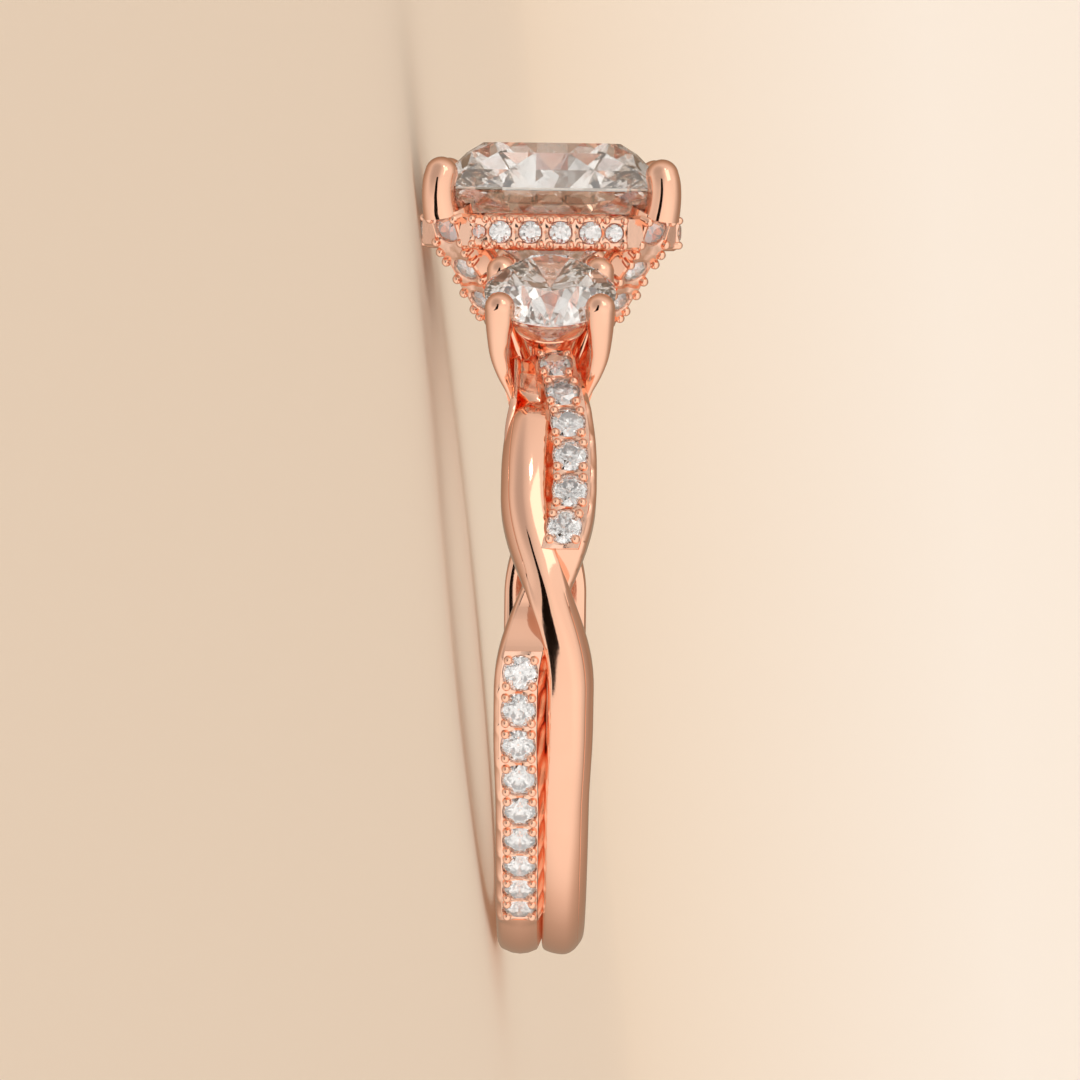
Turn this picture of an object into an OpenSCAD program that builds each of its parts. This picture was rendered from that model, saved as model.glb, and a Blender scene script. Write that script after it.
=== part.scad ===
// Twisted shank engagement ring: a plain and a stone-set strand cross over each other round the
// finger, and carry a square head with a cushion-cut stone, a hidden halo and two side stones.
// The ring is described upright, with Z up through the head, Y along the finger and X towards the
// front side stone, and is then laid on its side, as it rests by itself.

/* [Finger hole] */
// Diameter of the finger hole
finger_d = 17.3; // [16.5:0.1:18.5]
// Thickness of the shank, from the finger hole to its top
shank_t = 1.7; // [1.5:0.05:2]

/* [Strands] */
// Width of the plain strand
plain_w = 1.25; // [1.15:0.05:1.4]
// Width of the stone-set strand
pave_w = 1.36; // [1.25:0.05:1.5]
// Sideways place of each strand's middle where they are widest apart
lobe_offset = 0.7; // [0.6:0.01:0.75]
// Angle from the front point up to the crossing where the plain strand is on top
cross_angle = 10.8; // [8:0.2:13]
// Angle from the front point up to the crossing where the stone-set strand is on top
top_cross_angle = 53; // [51:0.5:55]
// How far the lower strand dips at a crossing
dip = 0.85; // [0.75:0.05:0.95]

/* [Shank stones] */
// Diameter of a shank stone
shank_stone_d = 0.94; // [0.8:0.02:0.96]
// Distance from one shank stone to the next, along the top of the strand
shank_pitch = 1.03; // [1:0.01:1.1]
// Stones above the crossing, on each half of the ring
upper_stones = 6; // [3:1:6]
// Stones below the crossing, on each half of the ring
lower_stones = 9; // [3:1:10]

/* [Head] */
// Height of the halo's middle above the top of the shank
halo_rise = 0.93; // [0.8:0.01:1.2]
// Height of the halo band itself
halo_band = 1.05; // [0.9:0.05:1.2]
// Distance across the halo, from flat to flat
halo_w = 7.4; // [7.2:0.1:7.8]
// Wall of the halo
halo_wall = 0.75; // [0.6:0.05:0.9]
// Length of a flat side of the halo, between its cut corners
halo_flat = 4.1; // [3.8:0.1:4.4]
// Diameter of a halo stone
halo_stone_d = 0.62; // [0.5:0.02:0.66]
// Distance from one halo stone to the next
halo_pitch = 0.86; // [0.8:0.01:0.88]
// Diameter of a corner prong
prong_d = 1; // [0.9:0.05:1.1]
// Height of a corner prong above the halo
prong_h = 1.66; // [1.5:0.02:1.8]

/* [Legs] */
// Width of a stone-set leg
leg_w = 1.2; // [1.05:0.05:1.3]
// Thickness of a stone-set leg
leg_t = 0.8; // [0.7:0.05:0.9]
// Diameter of a leg stone
leg_stone_d = 0.82; // [0.7:0.02:0.84]

/* [Centre stone] */
// Width of the cushion-cut stone
centre_w = 6.9; // [6.6:0.1:7.1]
// Height of its girdle above the middle of the halo
centre_rise = 1.22; // [1.12:0.02:1.3]

/* [Side stones] */
// Diameter of a side stone
side_d = 3.65; // [3.4:0.05:3.8]
// Height of its middle above the round of the shank
side_rise = 1.32; // [1.28:0.01:1.45]
// Angle from the head, round the finger hole, at which it sits
side_turn = 33.85; // [33:0.05:34.5]
// Angle by which it leans outwards
side_tilt = 28; // [24:1:32]
// Diameter of a basket prong
basket_prong_d = 0.82; // [0.7:0.02:0.9]

/* [Fits] */
// Gap between a stone and its seat
seat_gap = 0.03; // [0.02:0.005:0.05]
// Diameter of a bead
bead_d = 0.26; // [0.2:0.01:0.3]

/* [Hidden] */

bore_r = finger_d / 2;
top_r = bore_r + shank_t;
halo_h = top_r + halo_rise;
centre_h = halo_h + centre_rise;
side_x = (top_r + side_rise) * sin(side_turn);
side_h = (top_r + side_rise) * cos(side_turn);
// The strands start a little inside the finger hole, which is then cut through them
bore_cut = 0.25;
half_turn = 180;
quarter = 90;
// Sideways place of each strand's middle where the strands lie side by side, soldered together
strand_overlap = 0.045;
side_offset = (plain_w + pave_w) / 4 - strand_overlap / 2;
// Angle from the front point, below which the strands lie side by side
join_angle = cross_angle - 16;
spread_angle = 22;
spread_clear = 6;
// Angles between which the strands stay widest apart
lobe_low = 2 * cross_angle - join_angle;
lobe_high = lobe_low + 3;
fade_angle = 2 * top_cross_angle - lobe_high;
upper_offset = lobe_offset - 0.05;
// Angles over which a strand dips below the other one
pave_dip_shift = 1.5;
pave_dip_near = 3;
pave_dip_far = 9;
plain_dip_from = 36;
plain_dip_to = 48;
nose_angle = 50;
// Angle from the front point, where the strands end under the baskets
strand_end = 55;
strand_step = 5;

// Thickness of the bridge under the head
bridge_t = 0.85;
bridge_r = bore_r + bridge_t;
bridge_half_w = 1.95;
bridge_end_half_w = side_offset + plain_w / 2;
bridge_wide_angle = 17;
bridge_end_angle = 42;
bridge_step = 6;

// Shares of a round or cushion brilliant, of its half width
table_share = 0.56;
crown_share = 0.36;
star_share = 0.80;
girdle_share = 0.035;
pavilion_share = 0.80;
lower_share = 0.3;
cushion_power = 3.4;
cushion_table_share = 0.6;
cushion_crown_share = 0.385;
cushion_pavilion_share = 0.7;

// Shares of a small single-cut stone, of its diameter
small_table = 0.3;
small_crown = 0.14;
small_girdle = 0.04;
small_depth = 0.42;
small_sides = 8;
// How far a small stone's girdle lies under the metal's surface
sink = 0.1;
bead_lift = 0.03;
// Height above a small stone's girdle that its seat is cut free
seat_clear = 0.5;
bead_sides = 10;

halo_top = halo_h + halo_band / 2;
halo_bottom = halo_h - halo_band / 2;
halo_half = halo_w / 2;
halo_shift = -0.165;
// Clear space between the end stones of a halo side and their neighbours
end_gap = 0.11;
left_end_d = 0.58 * halo_stone_d;
right_end_d = 0.8 * halo_stone_d;

prong_r = prong_d / 2;
prong_off = halo_half + 0.86;
prong_foot = halo_top - 0.12;
prong_tip = halo_top + prong_h;
rod_sides = 10;

// The ring rests on the lower edge of the halo's flat side and on the back of the shank
rail = 0.1;
rail_drop = 0.22;
rest_tilt = atan2(halo_half - side_offset - pave_w / 2, halo_bottom + top_r - rail_drop);

function clamp(v) = max(0, min(1, v));
function ease(v) = (1 - cos(half_turn * clamp(v))) / 2;
function slide(v, from, to, a, b) = a + (b - a) * ease((v - from) / (to - from));

// Angle above the front or back point, for an angle turned from the head
function lift(turn) = quarter - min(turn, 360 - turn);

// Sideways swing of the stone-set strand, the plain one swings the other way
function swing(turn) = let (f = lift(turn))
    f < join_angle ? slide(f, join_angle - spread_angle, join_angle - spread_clear, -side_offset, -lobe_offset)
    : f < lobe_low ? slide(f, join_angle, lobe_low, -lobe_offset, upper_offset)
    : slide(f, lobe_high, fade_angle, upper_offset, -upper_offset);

// Height of each strand's top
function pave_top(turn) = let (f = lift(turn), away = abs(f - cross_angle + pave_dip_shift))
    f > nose_angle ? slide(f, nose_angle, strand_end, top_r, bridge_r - 0.02)
    : slide(away, pave_dip_near, pave_dip_far, top_r - dip, top_r);
function plain_top(turn) = slide(lift(turn), plain_dip_from, plain_dip_to, top_r, top_r - dip);

// One section of a strand, at an angle turned from the head
function at_turn(turn, pts) = [for (p = pts) [p[0] * sin(turn), p[1], p[0] * cos(turn)]];
dome_steps = 7;
function plain_section(turn) = let (
        c = -swing(turn), half = plain_w / 2, top = plain_top(turn),
        shoulder = top - 0.62 * (shank_t - 0.85 * (top_r - top)))
    at_turn(turn, concat(
        [[bore_r - bore_cut, c + 0.9 * half]],
        [for (k = [0 : dome_steps]) let (a = half_turn * k / dome_steps)
            [shoulder + (top - shoulder) * pow(sin(a), 0.8),
                c + half * sign(cos(a)) * pow(abs(cos(a)), 0.72)]],
        [[bore_r - bore_cut, c - 0.9 * half]]));
function pave_section(turn) = let (c = swing(turn), half = pave_w / 2, top = pave_top(turn))
    at_turn(turn, [
        [bore_r - bore_cut, c + half],
        [top - rail_drop, c + half],
        [top, c + half - rail],
        [top, c - half + rail],
        [top - rail_drop, c - half],
        [bore_r - bore_cut, c - half]]);
function bridge_section(turn) = let (
        half = slide(abs(turn), bridge_wide_angle, bridge_end_angle - 6,
            bridge_half_w, bridge_end_half_w - 0.1))
    at_turn(turn, [
        [bore_r - bore_cut, half], [bridge_r, half],
        [bridge_r, -half], [bore_r - bore_cut, -half]]);

// A closed skin over rings that hold the same number of points each
module skin(rings) {
    n = len(rings[0]);
    last = len(rings) - 1;
    polyhedron(
        points = [for (ring = rings) each ring],
        faces = concat(
            [[for (j = [0 : n - 1]) j]],
            [for (i = [0 : last - 1], j = [0 : n - 1]) each let (
                a = i * n + j, b = i * n + (j + 1) % n)
                [[a, a + n, b], [b, a + n, b + n]]],
            [[for (j = [n - 1 : -1 : 0]) last * n + j]]),
        convexity = 8);
}

// A round rod through stations of [place, radius], with its end rounded over
function unit(v) = v / norm(v);
function rod_ring(p, along, r) = let (
        side = unit(cross(along, [0, 1, 0])), up = cross(side, along))
    [for (k = [0 : rod_sides - 1]) let (a = -360 * k / rod_sides)
        p + r * (cos(a) * side + sin(a) * up)];
cap_steps = [0, 40, 72];
module rod(stations) {
    n = len(stations) - 1;
    tip = unit(stations[n][0] - stations[n - 1][0]);
    end = stations[n];
    skin(concat(
        [for (i = [0 : n - 1]) rod_ring(stations[i][0],
            unit(stations[i + 1][0] - stations[max(0, i - 1)][0]), stations[i][1])],
        [for (a = cap_steps) rod_ring(end[0] + tip * end[1] * sin(a), tip, end[1] * cos(a))]));
}

// A turned solid with flat facets, through [radius, height] pairs, pointed at its lower end
module dome(profile, point_z, sides) {
    n = len(profile);
    polyhedron(
        points = concat(
            [for (p = profile, k = [0 : sides - 1]) let (a = 360 * (k + 0.5) / sides)
                [p[0] * cos(a), p[0] * sin(a), p[1]]],
            [[0, 0, point_z]]),
        faces = concat(
            [for (k = [0 : sides - 1]) [k, (k + 1) % sides, n * sides]],
            [for (i = [0 : n - 2], k = [0 : sides - 1]) each let (
                a = i * sides + k, b = i * sides + (k + 1) % sides)
                [[a, a + sides, b], [b, a + sides, b + sides]]],
            [[for (k = [sides - 1 : -1 : 0]) (n - 1) * sides + k]]));
}

// Places on the ring, each with its own Z out of the metal
module on_shank(turn, y, r) {
    rotate([0, turn, 0]) translate([0, y, r]) children();
}
module on_halo_side(k, y, z) {
    rotate(quarter * k) translate([halo_half, y, z]) rotate([0, quarter, 0]) children();
}
module on_side_stone() {
    translate([side_x, 0, side_h]) rotate([0, side_tilt, 0]) children();
}
module front_and_back() {
    for (k = [0, 1]) mirror([k, 0, 0]) children();
}

// Outer line of a leg as [distance from the head's axis, height], down from the halo
leg_line = [
    [halo_half + 0.78, halo_top],
    [halo_half + 0.58, halo_h],
    [halo_half + 0.28, halo_h - 0.6],
    [halo_half - 0.32, halo_h - 1.3],
    [halo_half - 0.86, halo_h - 2.1],
    [halo_half - 1.48, halo_h - 2.75],
    [halo_half - 1.86, halo_h - 3.2]];
// Share of its width that a leg has at each of these points, narrow at its foot
leg_share = [1, 1, 1, 1, 0.92, 0.76, 0.7];
leg_stone_at = [1, 2.79, 3.95];
leg_stone_share = [1, 0.94, 0.86];
function along_leg(s) = let (i = min(floor(s), len(leg_line) - 2))
    leg_line[i] + (s - i) * (leg_line[i + 1] - leg_line[i]);
function leg_dir(s) = unit(along_leg(min(s + 0.5, len(leg_line) - 1)) - along_leg(max(s - 0.5, 0)));
function leg_out(s) = let (d = leg_dir(s)) [-d[1], d[0]];
leg_rail = 0.1;
function leg_section(i) = let (
        out = i == 0 ? [1, 0] : leg_out(i),
        p = leg_line[i], q = p - leg_t * out, m = p - leg_rail * out,
        half = leg_w / 2 * leg_share[i])
    [[q[0], half, q[1]], [m[0], half, m[1]], [p[0], half - leg_rail, p[1]],
        [p[0], -half + leg_rail, p[1]], [m[0], -half, m[1]], [q[0], -half, q[1]]];
module on_leg(k, s) {
    p = along_leg(s);
    out = leg_out(s);
    rotate(45 + quarter * k) translate([p[0], 0, p[1]])
        rotate([0, atan2(out[0], out[1]), 0]) children();
}

// Turn from the head of each shank stone on the front half
pitch_angle = shank_pitch / top_r * half_turn / PI;
shank_turns = concat(
    [for (k = [0 : upper_stones - 1]) quarter - (top_cross_angle - 4.4 - k * pitch_angle)],
    [for (k = [0 : lower_stones - 1]) quarter - (cross_angle - 12.8 - k * pitch_angle)]);

// Places of the stones along one side of the halo, as [offset, diameter]
halo_main = [for (k = [-1.5 : 1.5]) [halo_shift + k * halo_pitch, halo_stone_d]];
halo_row = concat(
    [[halo_main[0][0] - (halo_stone_d + left_end_d) / 2 - end_gap, left_end_d]],
    halo_main,
    [[halo_main[3][0] + (halo_stone_d + right_end_d) / 2 + end_gap, right_end_d]]);

// A small single-cut stone: table, eight crown and eight pavilion facets
module small_stone(d) {
    girdle = small_girdle * d / 2;
    dome([[d / 2, -girdle], [d / 2, girdle], [small_table * d, small_crown * d]],
        -small_depth * d, small_sides);
}
// The hole that takes it, open to above
module small_seat(d) {
    r = d / 2 + seat_gap;
    dome([[r, -small_girdle * d], [r, seat_clear]], -small_depth * d - 2 * seat_gap, small_sides);
}

// A brilliant over an outline given as a function of the angle
function round_outline(a) = 1;
function cushion_outline(a) = pow(
    pow(abs(cos(a)), cushion_power) + pow(abs(sin(a)), cushion_power), -1 / cushion_power);
module brilliant(r, outline, table, crown, pavilion) {
    at = function (a, s, z) [r * s * outline(a) * cos(a), r * s * outline(a) * sin(a), r * z];
    g = girdle_share;
    n = 8;
    step = 360 / n;
    upper_z = g + (crown - g) * (1 - (star_share - table) / (1 - table)) * 1.06;
    lower_z = -pavilion + (pavilion - g) * lower_share * 0.93;
    points = concat(
        [for (k = [0 : n - 1]) at(k * step, table, crown)],
        [for (k = [0 : n - 1]) at((k + 0.5) * step, star_share, upper_z)],
        [for (k = [0 : 2 * n - 1]) at(k * step / 2, 1, g)],
        [for (k = [0 : 2 * n - 1]) at(k * step / 2, 1, -g)],
        [for (k = [0 : n - 1]) at((k + 0.5) * step, lower_share, lower_z)],
        [[0, 0, -r * pavilion]]);
    t = 0;
    m = n;
    u = 2 * n;
    w = 4 * n;
    l = 6 * n;
    tip = 7 * n;
    polyhedron(points = points, faces = concat(
        [[for (k = [n - 1 : -1 : 0]) t + k]],
        [for (k = [0 : n - 1]) each let (
            next = (k + 1) % n, e = 2 * k, o = 2 * k + 1, f = (2 * k + 2) % (2 * n))
            [[t + k, t + next, m + k],
                [t + k, m + k, u + e],
                [t + next, u + f, m + k],
                [m + k, u + o, u + e],
                [m + k, u + f, u + o],
                [u + e, u + o, w + o], [u + e, w + o, w + e],
                [u + o, u + f, w + f], [u + o, w + f, w + o],
                [w + e, w + o, l + k],
                [w + o, w + f, l + k],
                [w + e, l + k, tip],
                [w + f, tip, l + k]]]));
}

module finger_hole() {
    rotate([quarter, 0, 0]) cylinder(r = bore_r, h = 12, center = true, $fn = 128);
}
module strands() {
    from = quarter - strand_end;
    to = 360 - from;
    skin([for (a = [from : strand_step : to]) plain_section(a)]);
    // Its sections lie half a step off those of the plain strand, so that no corners coincide
    skin([for (a = concat(from, [for (b = [from + strand_step / 2 : strand_step : to]) b], to))
        pave_section(a)]);
}
module bridge() {
    skin([for (a = [-bridge_end_angle : bridge_step : bridge_end_angle]) bridge_section(a)]);
}

// Octagon of the halo, grown or shrunk by a margin
module halo_outline(margin) {
    h = halo_half + margin;
    f = halo_flat / 2 + margin * tan(22.5);
    polygon([[h, f], [f, h], [-f, h], [-h, f], [-h, -f], [-f, -h], [f, -h], [h, -f]]);
}
module halo_ring(bottom, height, outer, inner) {
    translate([0, 0, bottom]) linear_extrude(height) difference() {
        halo_outline(outer);
        halo_outline(inner);
    }
}
// The band, with the channel that its stones lie in
module halo() {
    high = halo_stone_d * cos(half_turn / small_sides) + 2 * seat_gap;
    deep = sink + small_depth * halo_stone_d + seat_gap;
    difference() {
        halo_ring(halo_bottom, halo_band, 0, -halo_wall);
        halo_ring(halo_h - high / 2, high, 1, -deep);
    }
}
module legs() {
    for (k = [0 : 3]) rotate(45 + quarter * k)
        skin([for (i = [0 : len(leg_line) - 1]) leg_section(i)]);
}
module corner_prongs() {
    for (k = [0 : 3]) rotate(45 + quarter * k) rod([
        [[prong_off - 0.12, 0, prong_foot], prong_r * 0.95],
        [[prong_off, 0, prong_foot + 0.5], prong_r],
        [[prong_off, 0, prong_tip - 2.1 * prong_r], prong_r],
        [[prong_off - 0.06, 0, prong_tip - prong_r], prong_r]]);
}

// Stations of a basket's prongs from the middle of its stone, as shares of the stone's half width,
// and the thickness there as a share of the tip's
outer_prong = [
    [0.62, 0.46, -1.86, 0.5], [0.75, 0.62, -1.4, 0.62], [0.778, 0.72, -0.877, 0.85],
    [0.734, 0.75, -0.411, 1], [0.778, 0.75, -0.164, 1]];
inner_prong = [
    [-0.685, 0.395, -1.26, 0.8], [-0.712, 0.575, -0.712, 0.9],
    [-0.668, 0.75, -0.11, 1], [-0.548, 0.75, 0.427, 1]];
module baskets() {
    r = side_d / 2;
    front_and_back() for (s = [-1, 1], line = [outer_prong, inner_prong])
        rod([for (p = line) [
            [side_x + r * p[0], s * r * p[1], side_h + r * p[2]], basket_prong_d / 2 * p[3]]]);
}

// Beads between neighbours, one on each side of the row
module bead() {
    r = bead_d / 2;
    dome([for (a = [0, 52]) [r * cos(a), r * sin(a) + bead_lift]], -r, bead_sides);
}
shank_bead_y = 0.375 * shank_stone_d + bead_d / 4;
module shank_beads() {
    last = len(shank_turns) - 1;
    front_and_back() for (k = [0 : last], s = [-1, 1]) {
        turn = shank_turns[k] + pitch_angle / 2;
        if (k != upper_stones - 1)
            on_shank(turn, swing(turn) + s * shank_bead_y, pave_top(turn)) bead();
    }
}
module small_seats() {
    front_and_back() for (turn = shank_turns)
        on_shank(turn, swing(turn), pave_top(turn) - sink) small_seat(shank_stone_d);
    for (k = [0 : 3], i = [0 : 2])
        on_leg(k, leg_stone_at[i]) translate([0, 0, -sink]) small_seat(leg_stone_d * leg_stone_share[i]);
}
module centre_gem(extra) {
    translate([0, 0, centre_h]) brilliant(centre_w / 2 + extra, function (a) cushion_outline(a),
        cushion_table_share, cushion_crown_share, cushion_pavilion_share);
}
module side_gem(extra) {
    on_side_stone() brilliant(side_d / 2 + extra, function (a) round_outline(a),
        table_share, crown_share, pavilion_share);
}

module lay_down() {
    rotate([0, -rest_tilt, 0]) rotate([quarter, 0, quarter]) children();
}

module setting() {
    color("#e3a286") lay_down() difference() {
        // Joined at its own size first, so that the finger hole goes through all of it
        resize([0, 0, 0]) difference() {
            union() {
                strands();
                bridge();
                halo();
                legs();
                corner_prongs();
                baskets();
                shank_beads();
            }
            small_seats();
            centre_gem(seat_gap);
            front_and_back() side_gem(seat_gap);
        }
        finger_hole();
    }
}
module centre_stone() {
    color("white") lay_down() centre_gem(0);
}
module side_stone_front() {
    color("white") lay_down() side_gem(0);
}
module side_stone_back() {
    color("white") lay_down() mirror([1, 0, 0]) side_gem(0);
}
module halo_stones() {
    color("white") lay_down() for (k = [0 : 3], p = halo_row)
        on_halo_side(k, p[0], halo_h) translate([0, 0, -sink]) small_stone(p[1]);
}
module leg_stones() {
    color("white") lay_down() for (k = [0 : 3], i = [0 : 2])
        on_leg(k, leg_stone_at[i]) translate([0, 0, -sink]) small_stone(leg_stone_d * leg_stone_share[i]);
}
module shank_stones() {
    for (turn = shank_turns)
        on_shank(turn, swing(turn), pave_top(turn) - sink) small_stone(shank_stone_d);
}
module shank_stones_front() {
    color("white") lay_down() shank_stones();
}
module shank_stones_back() {
    color("white") lay_down() mirror([1, 0, 0]) shank_stones();
}

setting();
centre_stone();
side_stone_front();
side_stone_back();
halo_stones();
leg_stones();
shank_stones_front();
shank_stones_back();
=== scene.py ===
"""Looks of the twisted shank ring, built round its solids. Shapes are described upright, in
millimetres, as t (towards the front side stone), w (along the finger) and h (up through the
head), and laid() turns them to lie on the floor as the ring rests."""
import math

import bpy
import numpy as np
from mathutils import Matrix, Vector


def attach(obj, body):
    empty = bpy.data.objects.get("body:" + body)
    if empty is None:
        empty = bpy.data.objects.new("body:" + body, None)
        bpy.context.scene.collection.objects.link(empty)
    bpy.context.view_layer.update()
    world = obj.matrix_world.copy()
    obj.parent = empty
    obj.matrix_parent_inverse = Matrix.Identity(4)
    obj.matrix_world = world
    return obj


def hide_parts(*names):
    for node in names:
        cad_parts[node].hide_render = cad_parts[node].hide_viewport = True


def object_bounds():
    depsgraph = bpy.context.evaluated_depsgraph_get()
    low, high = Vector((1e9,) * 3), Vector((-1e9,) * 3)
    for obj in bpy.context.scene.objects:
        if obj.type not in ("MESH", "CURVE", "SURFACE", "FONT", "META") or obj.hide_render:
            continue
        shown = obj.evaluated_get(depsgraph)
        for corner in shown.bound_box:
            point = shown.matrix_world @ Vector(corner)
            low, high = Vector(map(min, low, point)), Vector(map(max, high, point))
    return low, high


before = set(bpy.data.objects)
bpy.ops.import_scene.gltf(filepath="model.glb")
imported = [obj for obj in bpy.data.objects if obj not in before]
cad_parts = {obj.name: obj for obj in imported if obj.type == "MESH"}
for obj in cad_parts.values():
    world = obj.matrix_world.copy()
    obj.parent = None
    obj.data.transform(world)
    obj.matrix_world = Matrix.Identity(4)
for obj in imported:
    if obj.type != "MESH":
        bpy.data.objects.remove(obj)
cad_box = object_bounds()

# Sizes of the ring, in millimetres and degrees. BORE and TOP are the inner and outer radius of the
# shank, and the halves are half widths of its strands.
BORE = 8.65
TOP = 10.35
PLAIN_HALF = 0.625
PAVE_HALF = 0.68
# Sideways place of the strands, along the lower shank, in the lobe and in the upper row, and the
# place at which a strand's profile has changed over to its other side
SIDE_OFFSET = 0.63
LOBE_OFFSET = 0.70
UPPER_OFFSET = 0.65
CHANGE = 0.3
# Angles above the front point where the strands cross, and how far the lower strand dips there
CROSS = 10.8
TOP_CROSS = 53.0
DIP = 0.85
# Angles where the stone-set strand's sideways slides begin and end, and where both strands end
# under the head, at the radius of the bridge
JOIN = CROSS - 16
LOBE_LOW = 2 * CROSS - JOIN
LOBE_HIGH = LOBE_LOW + 3
FADE = 2 * TOP_CROSS - LOBE_HIGH
STRAND_END = 55.0
BRIDGE = 9.5
# Stones of the shank: diameter, pitch, and how many lie over and under the front crossing
SHANK_STONE = 0.94
PITCH = 1.03
PITCH_ANGLE = math.degrees(PITCH / TOP)
UPPER_STONES = 6
LOWER_STONES = 9
# Halo: height of its middle, half width, height of its band and length of its flat sides, then
# the diameter, pitch and shift of its stones
HALO_H = 11.28
HALO_HALF = 3.7
HALO_BAND = 1.05
HALO_FLAT = 4.1
HALO_STONE = 0.62
HALO_PITCH = 0.86
HALO_SHIFT = -0.165
# Distance of the corner prongs from the head's axis
PRONG_OFF = HALO_HALF + 0.86
# Centre stone: height of its girdle and half width
CENTRE_H = 12.5
CENTRE_R = 3.45
# Side stones: radius, the place of the girdle's middle, and how far they lean out
SIDE_R = 1.825
SIDE_T = 6.5
SIDE_H = 9.69
SIDE_TILT = 28.0
# Legs: half width, and diameter of the highest stone
LEG_HALF = 0.6
LEG_STONE = 0.82
# How deep the girdle of a small stone lies under the metal around it
SINK = 0.1
# The ring lies on the edge of its head and on the outer rail of its shank, a little under the top
RAIL_DROP = 0.22
REST_TILT = math.atan2(HALO_HALF - SIDE_OFFSET - PAVE_HALF,
                       HALO_H - HALO_BAND / 2 + TOP - RAIL_DROP)
MM = 0.001


def laid(p):
    """Upright millimetres to laid metres: t becomes Y, and h and w are turned by the rest tilt
    in the plane of X and Z."""
    t, w, h = p[..., 0], p[..., 1], p[..., 2]
    c, s = math.cos(REST_TILT), math.sin(REST_TILT)
    return np.stack([h * c - w * s, t, h * s + w * c], -1)


def ease(v):
    """Half a cosine wave from 0 to 1."""
    return (1 - np.cos(np.pi * np.clip(v, 0, 1))) / 2


def slide(v, start, end, a, b):
    """a before start, b after end, eased between them."""
    return a + (b - a) * ease((v - start) / (end - start))


def unit(v):
    """Vectors divided by their lengths."""
    return v / np.linalg.norm(v, axis=-1, keepdims=True)


def run_length(line):
    """Distance walked along a line of points, from its start to each of them."""
    return np.concatenate([[0], np.cumsum(np.linalg.norm(np.diff(line, axis=0), axis=1))])


def around(a, rho, z):
    """Points at an angle round the z axis, at distance rho from it and height z."""
    return np.stack(np.broadcast_arrays(rho * np.cos(a), rho * np.sin(a), z), -1)


def full_turn(n):
    """n even angles round a circle."""
    return np.arange(n) * 2 * np.pi / n


# Surfaces

def skin(points, ring=True, caps=True, loop=False):
    """Skin over a grid of points [row, column]: one quad for each cell. A ring joins the last
    column to the first, a loop the last row to the first, and caps close both end rows."""
    m, n = points.shape[:2]
    rows = np.arange(m if loop else m - 1)[:, None]
    cols = np.arange(n if ring else n - 1)[None, :]
    up = (rows + 1) % m
    side = (cols + 1) % n
    quads = np.stack([rows * n + cols, rows * n + side, up * n + side, up * n + cols], -1)
    faces = [quads.reshape(-1, 4)]
    if caps and not loop:
        faces += [np.arange(n)[None, ::-1], (m - 1) * n + np.arange(n)[None, :]]
    return points.reshape(-1, 3), faces


def polar(points, low, high):
    """Skin over rings of points [ring, angle], closed by a pole at each end."""
    m, n = points.shape[:2]
    verts, faces = skin(points, caps=False)
    k = np.arange(n)
    first = np.stack([np.full(n, m * n), (k + 1) % n, k], -1)
    last = np.stack([np.full(n, m * n + 1), (m - 1) * n + k, (m - 1) * n + (k + 1) % n], -1)
    return np.concatenate([verts, [low, high]]), faces + [first, last]


def volume(verts, faces):
    """Signed volume under all faces, fanned from their first corners."""
    total = 0.0
    for f in faces:
        a = verts[f[:, 0]]
        for k in range(1, f.shape[1] - 1):
            total += np.einsum("ij,ij->", a, np.cross(verts[f[:, k]], verts[f[:, k + 1]]))
    return total


def moved(shape, origin, out, along):
    """A shape in local x, y, z carried to origin, with z pointing out and x along."""
    z = unit(np.array(out, float))
    x = np.array(along, float)
    x = unit(x - z * (x @ z))
    verts, faces = shape
    return verts @ np.stack([x, np.cross(z, x), z]) + np.array(origin), faces


def turned(shape, quarters):
    """A shape turned about the head's axis by quarter turns."""
    a = quarters * np.pi / 2
    c, s = np.cos(a), np.sin(a)
    verts, faces = shape
    return verts @ np.array([[c, s, 0], [-s, c, 0], [0, 0, 1]]), faces


def diagonal(shape):
    """From the plane of t and h to the diagonal under a corner of the head."""
    c = math.sqrt(0.5)
    verts, faces = shape
    return verts @ np.array([[c, c, 0], [-c, c, 0], [0, 0, 1]]), faces


def mirrored(shape):
    """A front shape on the back half of the ring."""
    verts, faces = shape
    return verts * [-1.0, 1.0, 1.0], faces


def front_and_back(shapes):
    """Shapes of the front half, then the same ones on the back half."""
    return shapes + [mirrored(s) for s in shapes]


def at_corners(shapes):
    """Shapes of one leg or prong, each at all four corners of the head."""
    return [turned(diagonal(s), k) for s in shapes for k in range(4)]


def scaled(shape, r):
    """A shape of radius 1 made to radius r."""
    return shape[0] * r, shape[1]


def bored(points):
    """Points inside the finger hole are moved out into its wall, as the bore cuts metal off."""
    slack, into = 0.001, 0.015
    r = np.hypot(points[:, 0], points[:, 2])[:, None]
    grow = np.where(r < BORE - slack, (BORE + into) / r, 1)
    return points * np.concatenate([grow, np.ones_like(grow), grow], 1)


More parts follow.
